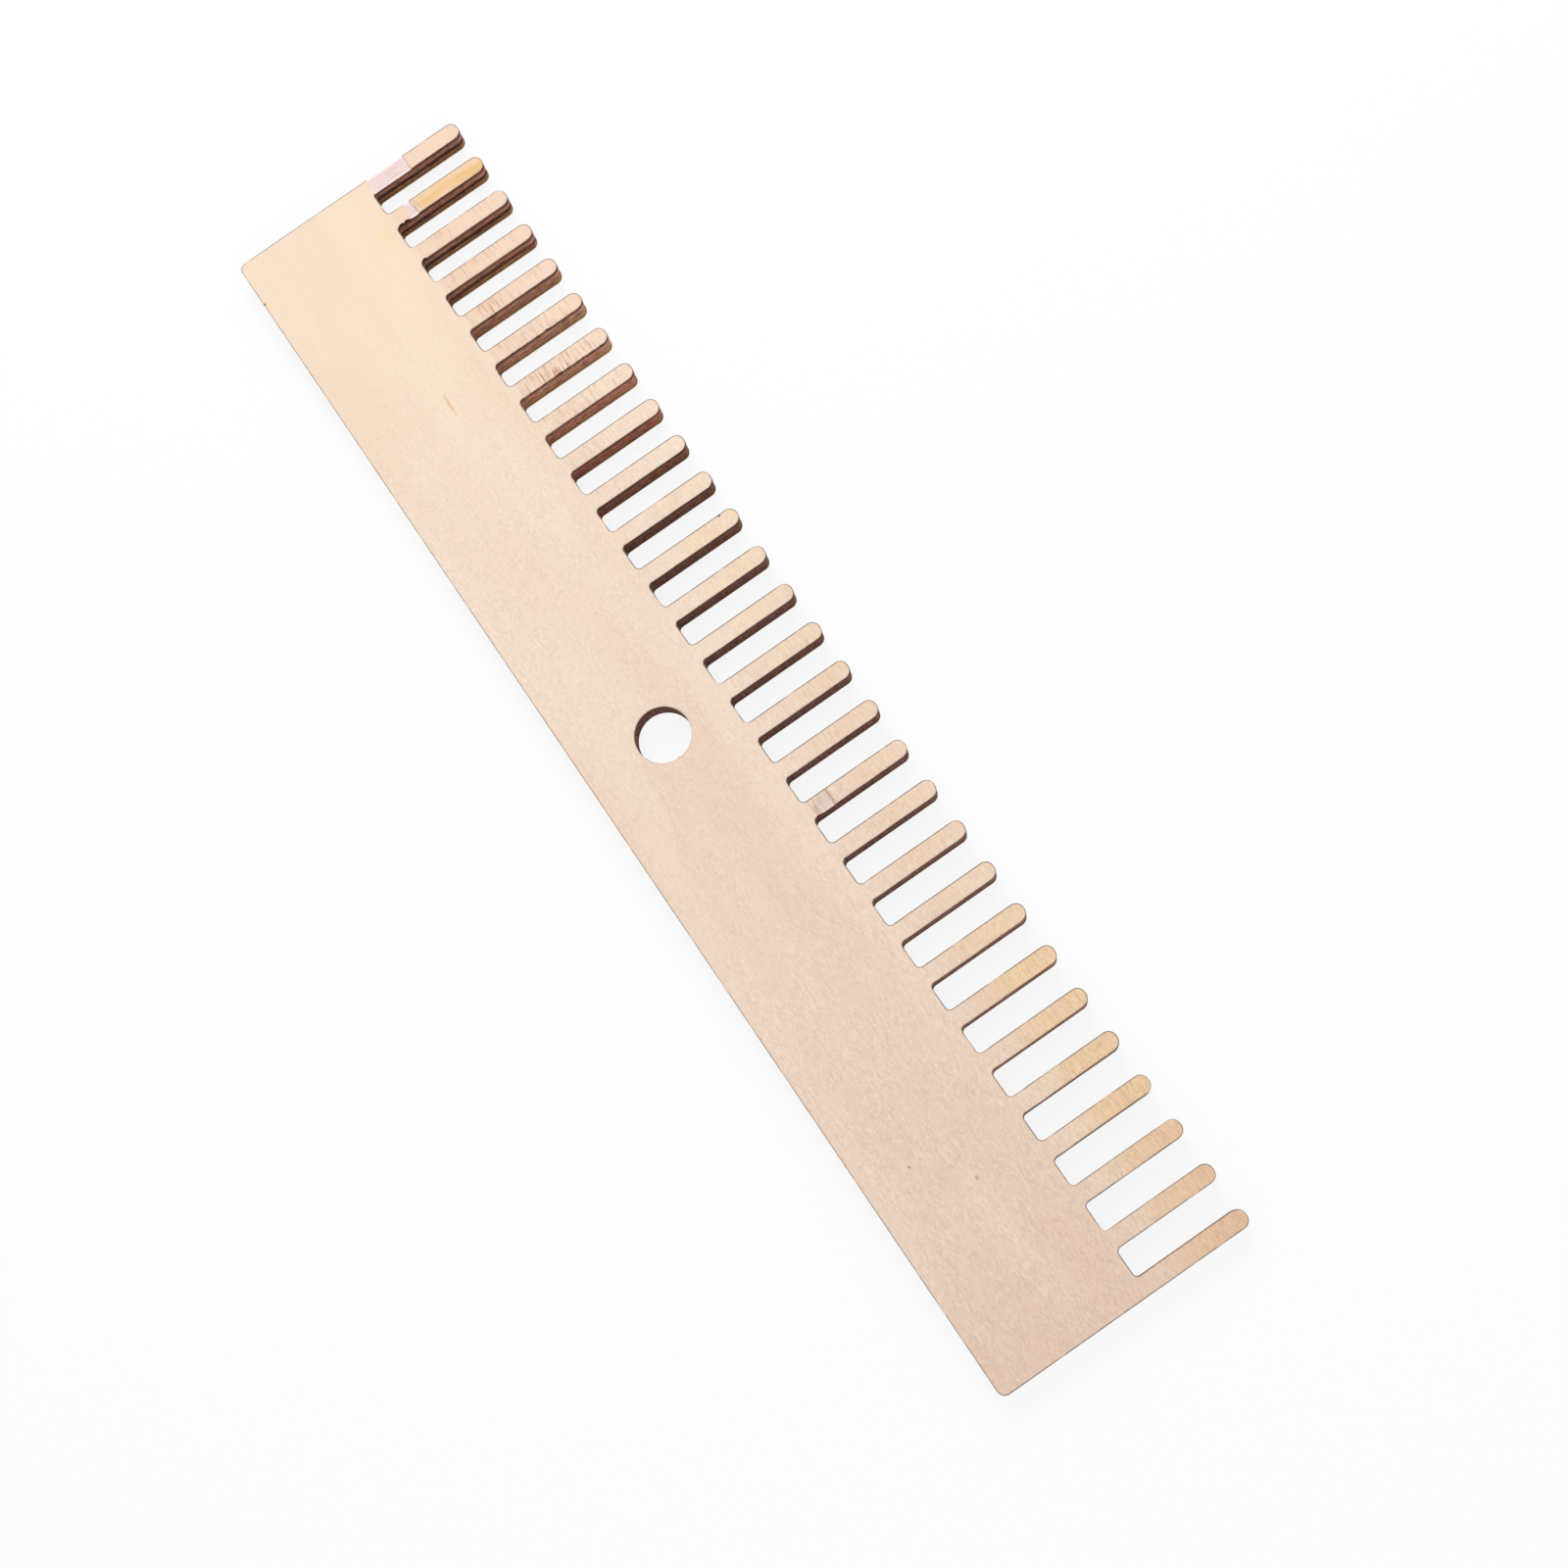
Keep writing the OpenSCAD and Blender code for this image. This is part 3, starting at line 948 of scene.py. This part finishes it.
def frontVeneer():
    low, high = layerHeights("front_veneer")
    sheet = combSheet(frontWear["wornTeeth"], frontNibble)
    marks, drop = frontMarks(sheet, high - low)
    made = layerObject("frontVeneer", sheet, high - drop, (low + frontCut["ring"], low), edgeInset(frontCut),
                       (faceVeneer, scorchedVeneer), marks)
    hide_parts("front_veneer")
    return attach(made, "root")


coreCut = dict(rings=9, wave=0.018, lean=0.008)  # rings of points down the cut edge


def coreVeneer(sheet):
    low, high = layerHeights("core_veneer")
    levels = tuple(np.linspace(high, low, coreCut["rings"]))
    made = layerObject("coreVeneer", sheet, None, levels, edgeInset(coreCut),
                       (scorchedCore, scorchedCore), {})
    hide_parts("core_veneer")
    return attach(made, "root")


backCut = dict(ring=0.25, wave=0.015, lean=0.008)  # ring of points above the back face


def backVeneer(sheet):
    low, high = layerHeights("back_veneer")
    edge = rimDistance(sheet.xy)
    marks = dict(edge=edge, burn=np.ones(len(edge)))
    made = layerObject("backVeneer", sheet, low + arrisDrop(edge), (low + backCut["ring"], high),
                       edgeInset(backCut), (faceVeneer, scorchedVeneer), marks)
    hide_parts("back_veneer")
    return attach(made, "root")


plainSheet = combSheet()
frontVeneer()
coreVeneer(plainSheet)
backVeneer(plainSheet)
for glueLine in ("front_glue_line", "back_glue_line"):
    layer = frame["nodes"][glueLine]
    layer.data.materials.clear()
    layer.data.materials.append(scorchedGlue)
print("comb dressed")


# stage, in metres
stageLook = dict(
    floorSize=3.0,
    floorDrop=0.00002,
    floorShade=(0.95, 0.95, 0.95, 1.0),
    # how much of the floor's white is its own, for the camera: near the comb and beyond it, in millimetres
    whiteShare=(0.88, 1.0),
    whiteReach=(150, 600),
    white=(1.0, 1.0, 1.0, 1.0),
    whiteLevel=1.0,
    worldLevel=0.48,
    lamps=(  # name, place, size, power in watts
        ("keyLamp", (-0.36, 0.16, 0.40), 0.4, 1.88),
        ("fillLamp", (1.0, -0.1, 0.65), 0.6, 2.8),
    ),
)


def seenDirectly(tree):
    # 1 for the rays that show the backdrop itself: straight, mirrored or through glass
    path = tree.nodes.new("ShaderNodeLightPath")
    seen = path.outputs["Is Camera Ray"]
    for ray in ("Is Glossy Ray", "Is Transmission Ray"):
        larger = tree.nodes.new("ShaderNodeMath")
        larger.operation = "MAXIMUM"
        tree.links.new(seen, larger.inputs[0])
        tree.links.new(path.outputs[ray], larger.inputs[1])
        seen = larger.outputs[0]
    return seen


def paleFloor():
    look = stageLook
    f = Finish("paleFloor")
    tree = f.material.node_tree
    away = f.node("VectorMath", {0: f.place}, output="Value", operation="LENGTH")
    ownWhite = f.step(away, *look["whiteReach"], *look["whiteShare"])
    share = f.calc("MULTIPLY", seenDirectly(tree), ownWhite)
    matte = f.node("BsdfDiffuse", {"Color": look["floorShade"]})
    white = f.node("Emission", {"Color": look["white"], "Strength": look["whiteLevel"]})
    both = f.node("MixShader", {0: share, 1: matte, 2: white})
    f.nodes.remove(f.shader)
    tree.links.new(both, f.nodes["Material Output"].inputs["Surface"])

    half = look["floorSize"] / 2
    mesh = bpy.data.meshes.new("floor")
    corners = [(x * half, y * half, -look["floorDrop"]) for x, y in ((-1, -1), (1, -1), (1, 1), (-1, 1))]
    mesh.from_pydata(corners, [], [(0, 1, 2, 3)])
    mesh.materials.append(f.material)
    floor = bpy.data.objects.new("floor", mesh)
    scene.collection.objects.link(floor)


def softLight():
    look = stageLook
    world = bpy.data.worlds.new("studio")
    scene.world = world
    world.use_nodes = True
    tree = world.node_tree
    air = tree.nodes["Background"]
    backdrop = tree.nodes.new("ShaderNodeBackground")
    for sky, level in ((air, look["worldLevel"]), (backdrop, look["whiteLevel"])):
        sky.inputs["Color"].default_value = look["white"]
        sky.inputs["Strength"].default_value = level
    both = tree.nodes.new("ShaderNodeMixShader")
    tree.links.new(seenDirectly(tree), both.inputs[0])
    tree.links.new(air.outputs[0], both.inputs[1])
    tree.links.new(backdrop.outputs[0], both.inputs[2])
    tree.links.new(both.outputs[0], tree.nodes["World Output"].inputs["Surface"])
    for name, place, size, power in look["lamps"]:
        lamp = bpy.data.lights.new(name, "AREA")
        lamp.shape = "DISK"
        lamp.size = size
        lamp.energy = power
        made = bpy.data.objects.new(name, lamp)
        made.location = place
        made.rotation_euler = (-made.location).to_track_quat("-Z", "Y").to_euler()
        scene.collection.objects.link(made)


view = dict(
    place=(0.08955, -0.00368, 0.28975),  # in metres
    target=(0.01595, 0.00288, 0.0035),
    roll=55.19,  # degrees about the line of sight
    lens=48.73,  # millimetres, as the sensor
    sensor=36.0,
    nearest=0.01,  # anything closer to the camera is cut off
)


def photoCamera():
    camera = bpy.data.cameras.new("camera")
    camera.lens = view["lens"]
    camera.sensor_width = view["sensor"]
    camera.clip_start = view["nearest"]
    made = bpy.data.objects.new("camera", camera)
    forward = (Vector(view["target"]) - Vector(view["place"])).normalized()
    right = forward.cross(Vector((0, 1, 0))).normalized()
    up = right.cross(forward)
    upright = Matrix((right, up, -forward)).transposed()
    turned = upright @ Matrix.Rotation(math.radians(view["roll"]), 3, "Z")
    made.matrix_world = Matrix.Translation(view["place"]) @ turned.to_4x4()
    scene.collection.objects.link(made)
    scene.camera = made


paleFloor()
softLight()
photoCamera()
print("stage set")
